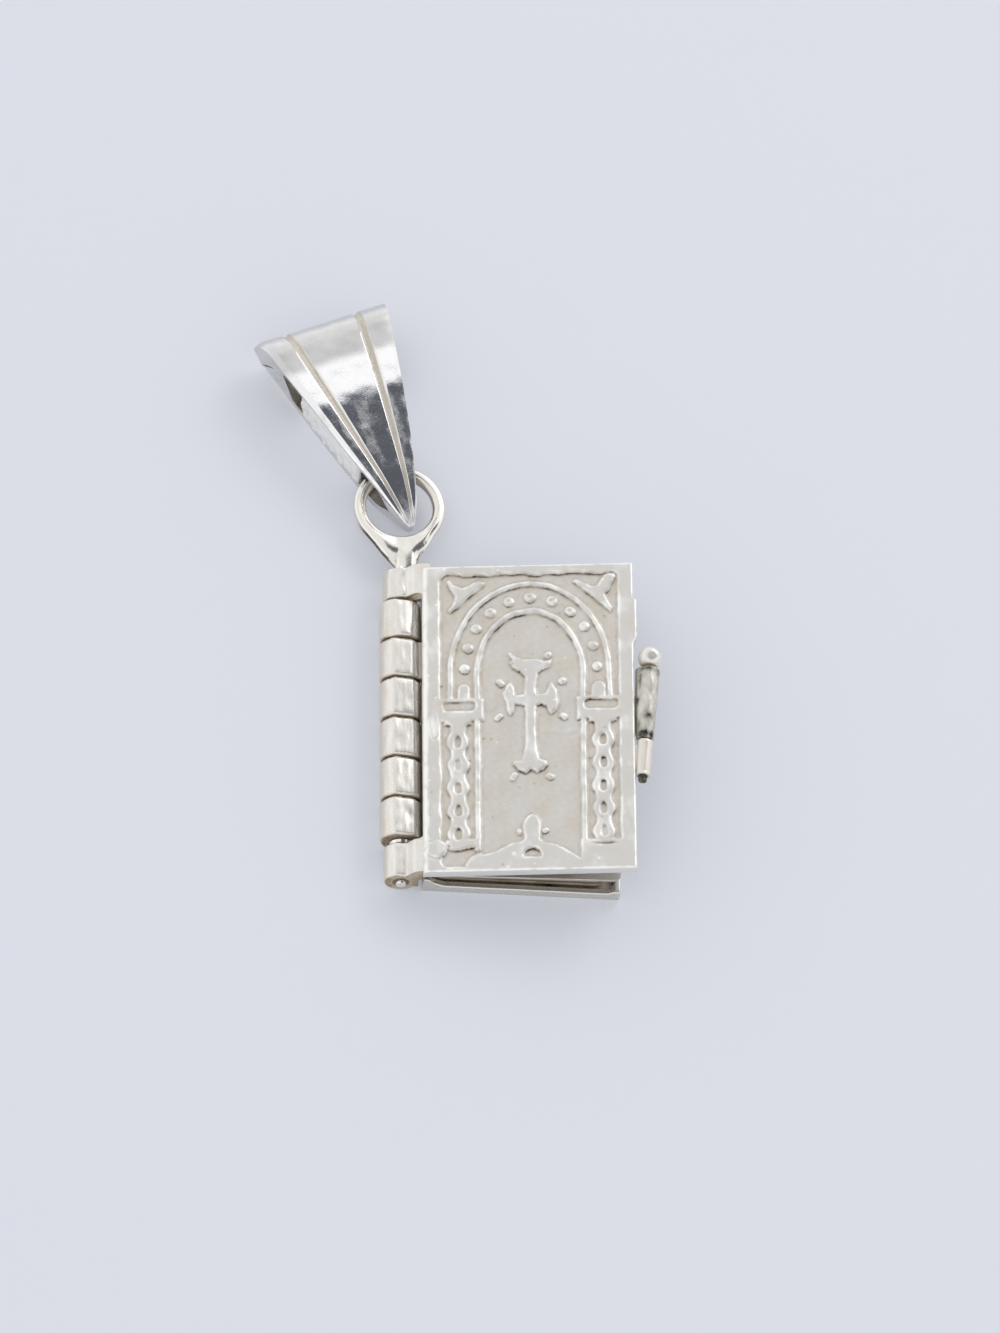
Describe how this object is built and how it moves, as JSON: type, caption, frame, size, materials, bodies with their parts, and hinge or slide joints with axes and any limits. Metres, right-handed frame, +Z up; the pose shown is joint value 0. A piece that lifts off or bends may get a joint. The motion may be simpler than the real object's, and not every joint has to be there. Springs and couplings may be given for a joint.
{
  "type": "bible pendant",
  "caption": "Small hinged book pendant in silver with an arched cross relief, thin leaves, a ribbed bail on an eye and a fore-edge clasp.",
  "frame": {"origin": "centre of the back cover's flat rest face", "axes": "+Z up out of the front cover, +Y along the hinge towards the bail, +X from the hinge towards the fore-edge"},
  "size_m": [0.0202, 0.0328, 0.0045],
  "materials": {
    "cast_silver": "matt cast silver, cream in the recesses",
    "satin_silver": "satin silver",
    "bright_silver": "polished silver",
    "dull_silver": "dull silver with brown tarnish",
    "tarnished_silver": "silver mottled with black tarnish"
  },
  "bodies": {
    "back": {"back_cover": "satin_silver", "hinge_pin": "satin_silver"},
    "front": {"front_cover": "cast_silver", "clasp_pin": "tarnished_silver"},
    "leaf_1": {"leaf_1": "dull_silver"},
    "leaf_2": {"leaf_2": "dull_silver"},
    "leaf_3": {"leaf_3": "dull_silver"},
    "leaf_4": {"leaf_4": "dull_silver"},
    "hasp": {"clasp_hasp": "tarnished_silver"},
    "bail": {"bail": "bright_silver"}
  },
  "joints": [
    {"name": "front_cover_hinge", "type": "hinge", "parent": "back", "child": "front", "pos_m": [-0.00609, 0, 0.00105], "axis": [0, -1, 0], "range_deg": [-8.8, 161.2]},
    {"name": "leaf_1_hinge", "type": "hinge", "parent": "back", "child": "leaf_1", "pos_m": [-0.00609, 0, 0.00105], "axis": [0, -1, 0], "range_deg": [-2.46, 45.14]},
    {"name": "leaf_2_hinge", "type": "hinge", "parent": "back", "child": "leaf_2", "pos_m": [-0.00609, 0, 0.00105], "axis": [0, -1, 0], "range_deg": [-1.76, 32.24]},
    {"name": "leaf_3_hinge", "type": "hinge", "parent": "back", "child": "leaf_3", "pos_m": [-0.00609, 0, 0.00105], "axis": [0, -1, 0], "range_deg": [-1.06, 19.34]},
    {"name": "leaf_4_hinge", "type": "hinge", "parent": "back", "child": "leaf_4", "pos_m": [-0.00609, 0, 0.00105], "axis": [0, -1, 0], "range_deg": [-0.48, 8.87]},
    {"name": "clasp_hasp_hinge", "type": "hinge", "parent": "front", "child": "hasp", "pos_m": [0.00582, -0.00198, 0.00388], "axis": [-0.0741, -0.9972, -0.0115], "range_deg": [-11, 100]},
    {"name": "bail_swing", "type": "hinge", "parent": "back", "child": "bail", "pos_m": [-0.0068, 0.01464, 0.00105], "axis": [0.9178, 0.3971, 0], "range_deg": [-43, 62]}
  ],
  "couplings": [
    {"joint": "leaf_1_hinge", "follows": "front_cover_hinge", "ratio": 0.28},
    {"joint": "leaf_2_hinge", "follows": "front_cover_hinge", "ratio": 0.2},
    {"joint": "leaf_3_hinge", "follows": "front_cover_hinge", "ratio": 0.12},
    {"joint": "leaf_4_hinge", "follows": "front_cover_hinge", "ratio": 0.055}
  ]
}
